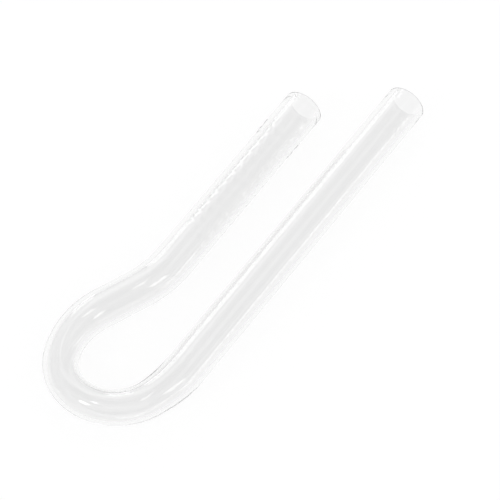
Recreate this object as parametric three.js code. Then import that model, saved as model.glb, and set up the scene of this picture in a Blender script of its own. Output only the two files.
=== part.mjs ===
// A bent glass airlock tube: a long plain leg, a U-bend of a little more than
// half a turn, a small bend back the other way, and a shorter leg, the stem,
// whose rolled grooves grip the bore of a bung. Both ends are open, with
// fire-polished rims.
//
// The tube lies flat. +X runs towards the open ends, +Y from the long leg to
// the stem, +Z up. The origin is under the middle of the tube's box.
// Lengths are in millimetres and turns in degrees.
//
// The real object is one piece of glass. Its worked stretches are separate
// meshes that meet face to face, in order from the long leg's open end.

import * as THREE from 'three';

const LEG_RADIUS = 5.0; // outside radius of both legs
const WALL_SHARE = 0.2; // glass thickness, as a share of the outside radius
const SIDES = 24; // facets round the tube

const RIM_LENGTH = 3.0; // stretch taken by each fire-polished rim
const RIM_ROUNDING = 0.3; // radius of the rim's inner and outer edges
const RIM_STEPS = 3; // facets in each rounded edge

const LONG_LEG_LENGTH = 98.5; // open end to the start of the bend
const STEM_LENGTH = 58.0; // end of the offset bend to the open end
const U_BEND_RADIUS = 13.1; // tight part of the U-bend, to the tube's centre
const U_BEND_TURN = 135.6;
const ENTRY_RADIUS = 34.5; // easing from the long leg into the U-bend
const ENTRY_TURN = 21.0;
const EXIT_RADIUS = 22.1; // easing out of the U-bend
const EXIT_TURN = 46.3;
const LINK_LENGTH = 10.0; // straight stretch between the two bends
const OFFSET_RADIUS = 31.2; // bend back, which makes the legs parallel
const OFFSET_TURN = ENTRY_TURN + U_BEND_TURN + EXIT_TURN - 180;

const GROOVE_PITCH = 3.67;
const GROOVE_COUNT = 11;
const GROOVE_DEPTH = 0.22; // crest to trough on the outside
const GROOVE_STEPS = 4; // rings in one groove
const TIP_LENGTH = 6.7; // plain glass between the grooves and the rim
const GRIP_LENGTH = GROOVE_PITCH * GROOVE_COUNT;
const SHOULDER_LENGTH = STEM_LENGTH - GRIP_LENGTH - TIP_LENGTH - RIM_LENGTH;

// One entry for each mesh, from the long leg's open end to the stem's.
// An entry is straight when it has a length, and an arc when it has a bend
// radius and a turn, to the left when positive. endRadius is the glass's
// outside radius at the entry's end: the hot glass stretches thin in the bend.
const STRETCHES = [
  { name: 'long_leg_rim', length: RIM_LENGTH, steps: 1, endRadius: LEG_RADIUS },
  { name: 'long_leg', length: LONG_LEG_LENGTH - RIM_LENGTH, steps: 1, endRadius: LEG_RADIUS },
  { name: 'bend_entry', bend: ENTRY_RADIUS, turn: -ENTRY_TURN, steps: 5, endRadius: 4.43 },
  { name: 'u_bend_inlet', bend: U_BEND_RADIUS, turn: -U_BEND_TURN / 3, steps: 7, endRadius: 4.19 },
  { name: 'u_bend_crown', bend: U_BEND_RADIUS, turn: -U_BEND_TURN / 3, steps: 7, endRadius: 4.17 },
  { name: 'u_bend_outlet', bend: U_BEND_RADIUS, turn: -U_BEND_TURN / 3, steps: 7, endRadius: 4.27 },
  { name: 'bend_exit', bend: EXIT_RADIUS, turn: -EXIT_TURN, steps: 7, endRadius: 4.74 },
  { name: 'bend_link', length: LINK_LENGTH, steps: 2, endRadius: 4.83 },
  { name: 'offset_bend', bend: OFFSET_RADIUS, turn: OFFSET_TURN, steps: 4, endRadius: 4.95 },
  { name: 'stem_shoulder', length: SHOULDER_LENGTH, steps: 2, endRadius: LEG_RADIUS },
  { name: 'ribbed_grip', length: GRIP_LENGTH, steps: GROOVE_COUNT * GROOVE_STEPS, endRadius: LEG_RADIUS },
  { name: 'stem_tip', length: TIP_LENGTH, steps: 1, endRadius: LEG_RADIUS },
  { name: 'stem_rim', length: RIM_LENGTH, steps: 1, endRadius: LEG_RADIUS },
];

// Walks the route and notes where each stretch starts, which way it heads
// there, and where it lies along the tube's centreline.
function layOut(stretches) {
  const position = new THREE.Vector2(0, 0);
  let heading = Math.PI;
  let along = 0;
  let radius = LEG_RADIUS;
  return stretches.map((stretch) => {
    const turn = THREE.MathUtils.degToRad(stretch.turn ?? 0);
    const length = stretch.length ?? stretch.bend * Math.abs(turn);
    const laid = { ...stretch, start: position.clone(), heading, from: along, to: along + length };
    laid.curvature = turn / length;
    laid.startRadius = radius;
    position.copy(centreAt(laid, laid.to));
    heading += turn;
    along = laid.to;
    radius = stretch.endRadius;
    return laid;
  });
}

// The way the centreline heads at a distance along it, inside one stretch.
function headingAt(stretch, along) {
  return stretch.heading + stretch.curvature * (along - stretch.from);
}

// The centreline's point at a distance along it, inside one stretch.
function centreAt(stretch, along) {
  const { start, heading, curvature } = stretch;
  if (curvature === 0) {
    const run = along - stretch.from;
    return new THREE.Vector2(start.x + run * Math.cos(heading), start.y + run * Math.sin(heading));
  }
  const now = headingAt(stretch, along);
  return new THREE.Vector2(
    start.x + (Math.sin(now) - Math.sin(heading)) / curvature,
    start.y - (Math.cos(now) - Math.cos(heading)) / curvature,
  );
}

const route = layOut(STRETCHES);

// How fast the outside radius changes where two stretches meet: not at all
// beside a stretch that keeps its radius.
function slopeBetween(before, after) {
  const bothTaper = [before, after].every((one) => one && one.endRadius !== one.startRadius);
  if (!bothTaper) return 0;
  return (after.endRadius - before.startRadius) / (after.to - before.from);
}

// The outside radius without grooves: a smooth cubic between the radii at the
// stretch's two ends.
function smoothRadius(index, along) {
  const stretch = route[index];
  const length = stretch.to - stretch.from;
  const t = (along - stretch.from) / length;
  const startSlope = slopeBetween(route[index - 1], stretch) * length;
  const endSlope = slopeBetween(stretch, route[index + 1]) * length;
  const change = stretch.endRadius - stretch.startRadius;
  const ease = t * t * (3 - 2 * t);
  return stretch.startRadius + change * ease
    + startSlope * t * (1 - t) ** 2 - endSlope * t * t * (1 - t);
}

// The bore inside a given outside radius: the wall thins as the tube does.
function boreRadius(outsideRadius) {
  return outsideRadius * (1 - WALL_SHARE);
}

// How far the rolled grooves press in, from 0 on a crest to GROOVE_DEPTH.
function grooveAt(stretch, along) {
  const phase = (along - stretch.from) / GROOVE_PITCH;
  return GROOVE_DEPTH * (1 - Math.cos(2 * Math.PI * phase)) / 2;
}

// Stations along the outside of a stretch, as profile points: radius, along.
function outsideLine(index) {
  const stretch = route[index];
  const points = [];
  for (let step = 0; step <= stretch.steps; step += 1) {
    const along = THREE.MathUtils.lerp(stretch.from, stretch.to, step / stretch.steps);
    const groove = stretch.name === 'ribbed_grip' ? grooveAt(stretch, along) : 0;
    points.push(new THREE.Vector2(smoothRadius(index, along) - groove, along));
  }
  return points;
}

// The same for the bore, which has no grooves, so a straight bore has two.
function boreLine(index) {
  const stretch = route[index];
  const steps = stretch.name === 'ribbed_grip' ? 1 : stretch.steps;
  const points = [];
  for (let step = 0; step <= steps; step += 1) {
    const along = THREE.MathUtils.lerp(stretch.from, stretch.to, step / steps);
    points.push(new THREE.Vector2(boreRadius(smoothRadius(index, along)), along));
  }
  return points;
}

// The rounded rim at an open end, from the outside wall to the bore. outward is
// +1 where the open end lies further along the route, and -1 at its start.
function rimLine(endAlong, outward) {
  const points = [];
  const centreAlong = endAlong - outward * RIM_ROUNDING;
  const edges = [
    { centre: LEG_RADIUS - RIM_ROUNDING, firstAngle: 0 },
    { centre: boreRadius(LEG_RADIUS) + RIM_ROUNDING, firstAngle: Math.PI / 2 },
  ];
  for (const edge of edges) {
    for (let step = 0; step <= RIM_STEPS; step += 1) {
      const angle = edge.firstAngle + (Math.PI / 2) * (step / RIM_STEPS);
      points.push(new THREE.Vector2(
        edge.centre + RIM_ROUNDING * Math.cos(angle),
        centreAlong + outward * RIM_ROUNDING * Math.sin(angle),
      ));
    }
  }
  return points;
}

// The closed outline of a stretch's wall: up the outside and down the bore.
function wallOutline(index) {
  const stretch = route[index];
  const outside = outsideLine(index);
  const bore = boreLine(index).reverse();
  let outline = [...outside, ...bore];
  if (stretch.name === 'long_leg_rim') {
    outline = [outside.at(-1), bore.at(0), ...rimLine(stretch.from, -1).reverse()];
  }
  if (stretch.name === 'stem_rim') {
    outline = [outside.at(0), ...rimLine(stretch.to, +1), bore.at(-1)];
  }
  return [...outline, outline[0].clone()];
}

// Turns the outline round the Y axis, then bends that straight tube so that its
// Y axis follows the stretch's centreline.
function bentTube(index) {
  const stretch = route[index];
  const geometry = new THREE.LatheGeometry(wallOutline(index), SIDES);
  const vertices = geometry.attributes.position;
  for (let i = 0; i < vertices.count; i += 1) {
    const sideways = vertices.getX(i);
    const along = vertices.getY(i);
    const centre = centreAt(stretch, along);
    const heading = headingAt(stretch, along);
    vertices.setXYZ(
      i,
      centre.x + sideways * Math.sin(heading),
      centre.y - sideways * Math.cos(heading),
      vertices.getZ(i),
    );
  }
  geometry.computeVertexNormals();
  return geometry;
}

// Clear glass, with the stem's pieces a shade apart so that they can be told
// from the rest in a plain view.
function glass(name) {
  const onStem = name.startsWith('stem') || name === 'ribbed_grip';
  return new THREE.MeshStandardMaterial({
    color: onStem ? 0xe4ebea : 0xeef2f2,
    roughness: 0.03,
    metalness: 0.0,
    transparent: true,
    opacity: 0.35,
  });
}

const airlock = new THREE.Group();
route.forEach((stretch, index) => {
  const mesh = new THREE.Mesh(bentTube(index), glass(stretch.name));
  mesh.name = stretch.name;
  airlock.add(mesh);
});

// The origin goes under the middle of the box round the whole tube.
const box = new THREE.Box3().setFromObject(airlock, true);
const middle = box.getCenter(new THREE.Vector3());
airlock.position.set(-middle.x, -middle.y, -box.min.z);
airlock.updateMatrixWorld(true);

export default airlock;
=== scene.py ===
"""Looks for the bent glass airlock tube: one seamless tube of clear glass on a
glowing white floor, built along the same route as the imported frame's nodes.

Numbers are in millimetres and degrees unless a comment says otherwise."""

import math

import bpy
import numpy as np
from mathutils import Matrix, Vector


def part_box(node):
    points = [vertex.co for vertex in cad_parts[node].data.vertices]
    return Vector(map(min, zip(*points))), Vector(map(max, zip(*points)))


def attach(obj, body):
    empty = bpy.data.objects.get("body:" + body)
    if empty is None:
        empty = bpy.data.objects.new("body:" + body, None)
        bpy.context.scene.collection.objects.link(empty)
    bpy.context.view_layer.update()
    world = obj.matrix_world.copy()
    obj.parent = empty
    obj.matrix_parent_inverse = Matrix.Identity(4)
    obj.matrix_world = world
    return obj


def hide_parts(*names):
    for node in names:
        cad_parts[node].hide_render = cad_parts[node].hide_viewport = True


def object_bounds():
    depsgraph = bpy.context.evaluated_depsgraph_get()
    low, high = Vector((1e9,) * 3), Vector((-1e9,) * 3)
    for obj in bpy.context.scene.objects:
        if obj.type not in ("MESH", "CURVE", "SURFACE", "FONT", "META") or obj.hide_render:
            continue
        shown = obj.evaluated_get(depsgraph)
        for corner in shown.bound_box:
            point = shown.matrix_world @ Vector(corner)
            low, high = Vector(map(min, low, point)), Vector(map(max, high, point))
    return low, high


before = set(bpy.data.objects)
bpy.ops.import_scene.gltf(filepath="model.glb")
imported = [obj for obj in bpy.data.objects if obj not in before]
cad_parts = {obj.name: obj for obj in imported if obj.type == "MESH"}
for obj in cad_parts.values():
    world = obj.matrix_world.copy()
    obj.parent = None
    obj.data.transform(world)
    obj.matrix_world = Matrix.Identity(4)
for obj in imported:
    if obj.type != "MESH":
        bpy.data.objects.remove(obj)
CAD_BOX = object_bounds()

MM = 0.001

# The tube's centreline, outside radius and wall, as the CAD has them.
RIM_LENGTH = 3.0
LONG_LEG_LENGTH = 98.5
STEM_LENGTH = 58.0
U_BEND_RADIUS = 13.1
U_BEND_TURN = 135.6
ENTRY_RADIUS = 34.5
ENTRY_TURN = 21.0
EXIT_RADIUS = 22.1
EXIT_TURN = 46.3
LINK_LENGTH = 10.0
OFFSET_RADIUS = 31.2
OFFSET_TURN = ENTRY_TURN + U_BEND_TURN + EXIT_TURN - 180.0
LEG_RADIUS = 5.0
WALL_SHARE = 0.2  # glass thickness, as a share of the outside radius

# The rolled grooves: spaced as in the CAD, a little shallower, and fading at the grip's ends.
GROOVE_PITCH = 3.67
GROOVE_COUNT = 11
GROOVE_DEPTH = 0.16  # crest to trough on the outside
BORE_FOLLOW = 0.5  # how much of each groove shows in the bore
TIP_LENGTH = 6.7  # plain glass between the grooves and the rim
GRIP_LENGTH = GROOVE_PITCH * GROOVE_COUNT
SHOULDER_LENGTH = STEM_LENGTH - GRIP_LENGTH - TIP_LENGTH - RIM_LENGTH

SIDES = 96  # facets round the tube
RIM_NOSE = 0.65  # how far back from the open end the rim's rounding starts
NOSE_STEPS = 12  # facets in the rim's rounding
RIM_BEAD = 0.2  # how far the melted rim thickens into the bore
BEAD_LENGTH = 1.6  # how far from the rounding that thickening takes to fade

# Clear glass. It greys light by its depth: per metre, density times what the colour lacks
# of white.
GLASS_IOR = 1.47
ABSORPTION_COLOR = (0.9, 0.9, 0.9, 1)
ABSORPTION_DENSITY = 20.0

# Faint lines that the drawing left along the tube. Scale: noise cells per metre across,
# along and up.
DRAW_LINE_SCALE = (900, 12, 900)
DRAW_LINE_DETAIL = 2.0
DRAW_LINE_HEIGHT = 0.004

# Slow changes of gloss and tint over the surface. The tint was chosen to match the photo's
# grey. Scale: noise cells per metre.
FILM_SCALE = 60.0
FILM_DETAIL = 3.0
FILM_ROUGHNESS = 0.02
TINT_LIGHT = (0.962, 0.962, 0.962, 1)
TINT_DARK = (0.948, 0.948, 0.948, 1)

# The camera and the studio. Distances are in metres.
CAMERA_AZIMUTH = -57.41
CAMERA_ELEVATION = 50.0
CAMERA_DISTANCE = 1.3
CAMERA_REACH = 100
CAMERA_SENSOR = 36  # millimetres, as the lens
LENS = 393.1
AIM = Vector((1.64, -7.05, 5.0)) * MM
BEHIND = CAMERA_AZIMUTH + 180  # the azimuth straight behind the part, seen from the camera
WORLD_TONES = [(0, 0.6), (12, 0.5), (54, 0.48), (66, 0.13)]  # elevation, grey there
LIGHT_DISTANCE = 2.5
LIGHT_BOUNCES = 64  # light runs a long way inside the glass wall

# Name, azimuth from BEHIND, elevation, angular width and height, radiance, tilt.
SOFTBOXES = [
    ("backdrop_glow", 27, 4, 120, 8, 0.5, 0),
    ("front_bank", 180, 37, 80, 30, 0.5, 0),
    ("left_softbox", 130, 36, 12, 12, 5.0, 0),
    ("right_softbox", -112, 30, 12, 13, 2.6, 0),
    ("back_softbox", 21, 23, 8, 10, 2.7, 0),
    ("back_strip", 8, 44, 5, 22, 0.6, 18),
    ("high_softbox", 16, 59, 22, 10, 0.6, 0),
    ("rib_light", 5, 30, 7, 14, 2.4, 0),
    ("streak_light", -65, 51, 18, 12, 0.2, 0),
]

# The floor glows like a light table. Together with what the lights add it is just white.
FLOOR_HALF = 3.0  # metres
FLOOR_DROP = 0.02 * MM  # keeps the floor clear of the glass that lies on it
FLOOR_ALBEDO = 0.12
FLOOR_GLOW = 0.94
FLOOR_ROUGHNESS = 0.9


def straight(length, end_radius, step):
    """A straight stretch. step is the usual distance between its rings."""
    return {"length": length, "turn": 0.0, "end_radius": end_radius, "step": step}


def arc(bend, turn, end_radius, step):
    """A bent stretch with that bend radius, turning left when turn is positive.
    It keeps its turn in radians."""
    length = bend * abs(math.radians(turn))
    return {"length": length, "turn": math.radians(turn), "end_radius": end_radius, "step": step}


# From the long leg's open end to the stem's. The hot glass stretches thin in the bend.
STRETCHES = [
    straight(LONG_LEG_LENGTH, LEG_RADIUS, 1.5),
    arc(ENTRY_RADIUS, -ENTRY_TURN, 4.43, 0.5),
    arc(U_BEND_RADIUS, -U_BEND_TURN / 3, 4.19, 0.4),
    arc(U_BEND_RADIUS, -U_BEND_TURN / 3, 4.17, 0.4),
    arc(U_BEND_RADIUS, -U_BEND_TURN / 3, 4.27, 0.4),
    arc(EXIT_RADIUS, -EXIT_TURN, 4.74, 0.5),
    straight(LINK_LENGTH, 4.83, 0.6),
    arc(OFFSET_RADIUS, OFFSET_TURN, 4.95, 0.6),
    straight(SHOULDER_LENGTH, LEG_RADIUS, 0.5),
    straight(GRIP_LENGTH, LEG_RADIUS, 0.2),
    straight(TIP_LENGTH + RIM_LENGTH, LEG_RADIUS, 0.5),
]
GRIP_INDEX = 9  # the stretch with the grooves


def lay_out(stretches):
    """Adds to each stretch where it starts, its heading there and its place
    along the tube."""
    x, y, heading, along, radius = 0.0, 0.0, math.pi, 0.0, LEG_RADIUS
    route = []
    for stretch in stretches:
        laid = dict(stretch, x=x, y=y, heading=heading, start=along, start_radius=radius)
        laid["curvature"] = stretch["turn"] / stretch["length"]
        laid["end"] = along + stretch["length"]
        x, y = centre_at(laid, laid["end"])
        heading += stretch["turn"]
        along = laid["end"]
        radius = stretch["end_radius"]
        route.append(laid)
    return route


def heading_at(laid, along):
    """The way the centreline heads at a distance along it, in radians."""
    return laid["heading"] + laid["curvature"] * (along - laid["start"])


def centre_at(laid, along):
    """The centreline's x and y at a distance along it."""
    heading, curvature = laid["heading"], laid["curvature"]
    if curvature == 0:
        run = along - laid["start"]
        return laid["x"] + run * math.cos(heading), laid["y"] + run * math.sin(heading)
    now = heading_at(laid, along)
    x = laid["x"] + (math.sin(now) - math.sin(heading)) / curvature
    y = laid["y"] - (math.cos(now) - math.cos(heading)) / curvature
    return x, y


ROUTE = lay_out(STRETCHES)
TUBE_END = ROUTE[-1]["end"]


def tapers(laid):
    return laid is not None and laid["end_radius"] != laid["start_radius"]


def taper_slope(before, after):
    """How fast the outside radius changes where two stretches meet: not at all
    beside a stretch that keeps its radius."""
    if not tapers(before) or not tapers(after):
        return 0.0
    return (after["end_radius"] - before["start_radius"]) / (after["end"] - before["start"])


def plain_radius_at(index, along):
    """The outside radius without grooves: a smooth cubic between the radii at
    the stretch's two ends."""
    laid = ROUTE[index]
    before = ROUTE[index - 1] if index > 0 else None
    after = ROUTE[index + 1] if index + 1 < len(ROUTE) else None
    t = (along - laid["start"]) / laid["length"]
    change = laid["end_radius"] - laid["start_radius"]
    start_slope = taper_slope(before, laid) * laid["length"]
    end_slope = taper_slope(laid, after) * laid["length"]
    radius = laid["start_radius"] + change * t * t * (3 - 2 * t)
    return radius + start_slope * t * (1 - t) ** 2 - end_slope * t * t * (1 - t)


def smooth(t):
    """Eases from 0 at t = 0 to 1 at t = 1, and holds those values beyond."""
    t = min(max(t, 0.0), 1.0)
    return t * t * (3 - 2 * t)


def bead_at(along):
    """How far the melted rims thicken into the bore near the open ends."""
    from_end = min(along, TUBE_END - along)
    return RIM_BEAD * smooth((RIM_NOSE + BEAD_LENGTH - from_end) / BEAD_LENGTH)


def groove_at(index, along):
    """How far the rolled grooves press in, from 0 on a crest to GROOVE_DEPTH. The
    first and last fade towards the grip's ends."""
    if index != GRIP_INDEX:
        return 0.0
    phase = (along - ROUTE[index]["start"]) / GROOVE_PITCH
    fade = smooth(phase) * smooth(GROOVE_COUNT - phase)
    return fade * GROOVE_DEPTH * (1 - math.cos(2 * math.pi * phase)) / 2


def stations():
    """Places along the tube between the two rims' rounding, with the outside
    and bore radius at each."""
    rows = []
    last_index = len(ROUTE) - 1
    for index, laid in enumerate(ROUTE):
        first = RIM_NOSE if index == 0 else laid["start"]
        last = TUBE_END - RIM_NOSE if index == last_index else laid["end"]
        count = max(2, round((last - first) / laid["step"]))
        for k in range(count + 1 if index == last_index else count):
            along = first + (last - first) * k / count
            plain = plain_radius_at(index, along)
            groove = groove_at(index, along)
            bore = plain * (1 - WALL_SHARE) - bead_at(along)
            rows.append((index, along, plain - groove, bore - groove * BORE_FOLLOW))
    return rows


def nose(outside, bore, end, outward):
    """The rounded rim, from the outside wall to the bore. outward is +1 at the
    stem's open end and -1 at the long leg's."""
    middle, half = (outside + bore) / 2, (outside - bore) / 2
    points = []
    for k in range(1, NOSE_STEPS):
        angle = math.pi * k / NOSE_STEPS
        along = end - outward * RIM_NOSE + outward * RIM_NOSE * math.sin(angle)
        points.append((middle + half * math.cos(angle), along))
    return points


def wall_outline():
    """The closed outline of the whole wall: (stretch index, radius, along)."""
    rows = stations()
    outline = [(index, outside, along) for index, along, outside, bore in rows]
    index, along, outside, bore = rows[-1]
    outline += [(index, radius, place) for radius, place in nose(outside, bore, TUBE_END, 1)]
    outline += [(index, bore, along) for index, along, outside, bore in reversed(rows)]
    index, along, outside, bore = rows[0]
    rim = [(index, radius, place) for radius, place in nose(outside, bore, 0.0, -1)]
    return outline + rim[::-1]


def tube_mesh():
    """The whole glass wall as one closed mesh. The attribute holds each point's
    place across, along and up in the tube as if it were straight, in metres."""
    rim_low, rim_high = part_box("long_leg_rim")
    open_end = Vector((rim_high.x, (rim_low.y + rim_high.y) / 2, (rim_low.z + rim_high.z) / 2))
    outline = wall_outline()
    vertices, straightened = [], []
    for index, radius, along in outline:
        laid = ROUTE[index]
        x, y = centre_at(laid, along)
        heading = heading_at(laid, along)
        for side in range(SIDES):
            angle = 2 * math.pi * side / SIDES
            across, up = radius * math.sin(angle), radius * math.cos(angle)
            local = Vector((x + across * math.sin(heading), y - across * math.cos(heading), up))
            vertices.append(open_end + local * MM)
            straightened.append((across * MM, along * MM, up * MM))
    faces = []
    rings = len(outline)
    for ring in range(rings):
        here, there = ring * SIDES, (ring + 1) % rings * SIDES
        for side in range(SIDES):
            beside = (side + 1) % SIDES
            faces.append((here + side, here + beside, there + beside, there + side))
    mesh = bpy.data.meshes.new("glass_tube")
    mesh.from_pydata(vertices, [], faces)
    attribute = mesh.attributes.new("straightened", "FLOAT_VECTOR", "POINT")
    attribute.data.foreach_set("vector", np.array(straightened, np.float32).ravel())
    mesh.shade_smooth()
    mesh.update()
    return mesh


def wired(tree, kind, value_in, source, **values):
    """A new node with its plain inputs set and one input linked."""
    made = tree.nodes.new(kind)
    for name, value in values.items():
        made.inputs[name.replace("_", " ")].default_value = value
    tree.links.new(source, made.inputs[value_in])
    return made


def clear_glass():
    """Clear drawn glass: faint lines left along the tube by the drawing, and
    slow changes of gloss and tint from melting and handling."""
    material = bpy.data.materials.new("clear_glass")
    material.use_nodes = True
    tree = material.node_tree
    shader = tree.nodes["Principled BSDF"]
    shader.inputs["Transmission Weight"].default_value = 1.0
    shader.inputs["IOR"].default_value = GLASS_IOR

    place = tree.nodes.new("ShaderNodeAttribute")
    place.attribute_name = "straightened"
    straightened = place.outputs["Vector"]
    drawn = wired(tree, "ShaderNodeMapping", "Vector", straightened, Scale=DRAW_LINE_SCALE)
    lines = wired(
        tree, "ShaderNodeTexNoise", "Vector", drawn.outputs["Vector"],
        Scale=1.0, Detail=DRAW_LINE_DETAIL,  # the mapping has scaled it already
    )
    height = DRAW_LINE_HEIGHT * MM
    bump = wired(tree, "ShaderNodeBump", "Height", lines.outputs["Fac"], Distance=height)
    tree.links.new(bump.outputs["Normal"], shader.inputs["Normal"])

    film = wired(
        tree, "ShaderNodeTexNoise", "Vector", straightened,
        Scale=FILM_SCALE, Detail=FILM_DETAIL,
    )
    gloss = wired(
        tree, "ShaderNodeMapRange", "Value", film.outputs["Fac"],
        To_Min=0.0, To_Max=FILM_ROUGHNESS,
    )
    tree.links.new(gloss.outputs["Result"], shader.inputs["Roughness"])

    tint = tree.nodes.new("ShaderNodeMix")
    tint.data_type = "RGBA"
    # The Mix node has sockets with the same names for each data type, so these go by number.
    first_color, second_color, mixed_color = tint.inputs[6], tint.inputs[7], tint.outputs[2]
    first_color.default_value = TINT_LIGHT
    second_color.default_value = TINT_DARK
    tree.links.new(film.outputs["Fac"], tint.inputs["Factor"])
    tree.links.new(mixed_color, shader.inputs["Base Color"])

    depth = tree.nodes.new("ShaderNodeVolumeAbsorption")
    depth.inputs["Color"].default_value = ABSORPTION_COLOR
    depth.inputs["Density"].default_value = ABSORPTION_DENSITY
    tree.links.new(depth.outputs["Volume"], tree.nodes["Material Output"].inputs["Volume"])
    return material


def floor():
    """The glowing floor that the tube lies on."""
    mesh = bpy.data.meshes.new("floor")
    half = FLOOR_HALF
    corners = [(-half, -half, 0), (half, -half, 0), (half, half, 0), (-half, half, 0)]
    mesh.from_pydata(corners, [], [(0, 1, 2, 3)])
    piece = bpy.data.objects.new("floor", mesh)
    piece.location.z = CAD_BOX[0][2] - FLOOR_DROP
    bpy.context.scene.collection.objects.link(piece)
    material = bpy.data.materials.new("floor")
    material.use_nodes = True
    shader = material.node_tree.nodes["Principled BSDF"]
    shader.inputs["Base Color"].default_value = (FLOOR_ALBEDO, FLOOR_ALBEDO, FLOOR_ALBEDO, 1)
    shader.inputs["Roughness"].default_value = FLOOR_ROUGHNESS
    shader.inputs["Specular IOR Level"].default_value = 0.0
    shader.inputs["Emission Color"].default_value = (1, 1, 1, 1)
    shader.inputs["Emission Strength"].default_value = FLOOR_GLOW
    mesh.materials.append(material)


def direction(azimuth, elevation):
    """Unit vector from the part towards a place around it: azimuth 0 is in
    front, at -Y, and it turns towards +X."""
    turned, raised = math.radians(azimuth), math.radians(elevation)
    level = math.cos(raised)
    return Vector((math.sin(turned) * level, -math.cos(turned) * level, math.sin(raised)))


def softbox(name, azimuth, elevation, across, tall, radiance, tilt):
    """A rectangular light seen from the part at that azimuth and elevation. Its
    angular width and height and its tilt are in degrees."""
    width = 2 * LIGHT_DISTANCE * math.tan(math.radians(across / 2))
    height = 2 * LIGHT_DISTANCE * math.tan(math.radians(tall / 2))
    light = bpy.data.lights.new(name, "AREA")
    light.shape = "RECTANGLE"
    light.size, light.size_y = width, height
    light.energy = radiance * math.pi * width * height
    lamp = bpy.data.objects.new(name, light)
    towards = direction(azimuth, elevation)
    lamp.location = towards * LIGHT_DISTANCE
    turn = towards.to_track_quat("Z", "Y").to_matrix() @ Matrix.Rotation(math.radians(tilt), 3, "Z")
    lamp.rotation_euler = turn.to_euler()
    lamp.visible_camera = False
    bpy.context.scene.collection.objects.link(lamp)


def studio():
    """Grey surroundings, dark overhead, and the softboxes."""
    world = bpy.data.worlds.new("studio")
    bpy.context.scene.world = world
    world.use_nodes = True
    tree = world.node_tree
    ray = tree.nodes.new("ShaderNodeTexCoord")
    split = tree.nodes.new("ShaderNodeSeparateXYZ")
    tone = tree.nodes.new("ShaderNodeValToRGB")
    tree.links.new(ray.outputs["Generated"], split.inputs["Vector"])
    tree.links.new(split.outputs["Z"], tone.inputs["Fac"])
    tree.links.new(tone.outputs["Color"], tree.nodes["Background"].inputs["Color"])
    stops = tone.color_ramp.elements
    while len(stops) < len(WORLD_TONES):
        stops.new(0.5)  # the loop below moves it
    for stop, (elevation, grey) in zip(stops, WORLD_TONES):
        stop.position = math.sin(math.radians(elevation))
        stop.color = (grey, grey, grey, 1)
    for name, from_behind, elevation, across, tall, radiance, tilt in SOFTBOXES:
        softbox(name, BEHIND + from_behind, elevation, across, tall, radiance, tilt)


def camera():
    data = bpy.data.cameras.new("camera")
    data.lens = LENS
    data.sensor_width = CAMERA_SENSOR
    data.clip_end = CAMERA_REACH
    piece = bpy.data.objects.new("camera", data)
    towards = direction(CAMERA_AZIMUTH, CAMERA_ELEVATION)
    piece.location = AIM + towards * CAMERA_DISTANCE
    piece.rotation_euler = towards.to_track_quat("Z", "Y").to_euler()
    bpy.context.scene.collection.objects.link(piece)
    bpy.context.scene.camera = piece


tube = bpy.data.objects.new("glass_tube", tube_mesh())
bpy.context.scene.collection.objects.link(tube)
tube.data.materials.append(clear_glass())
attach(tube, "root")
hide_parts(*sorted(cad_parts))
floor()
studio()
camera()
bpy.context.scene.view_settings.view_transform = "Standard"
for kind in ("max_bounces", "transmission_bounces", "glossy_bounces"):
    setattr(bpy.context.scene.cycles, kind, LIGHT_BOUNCES)
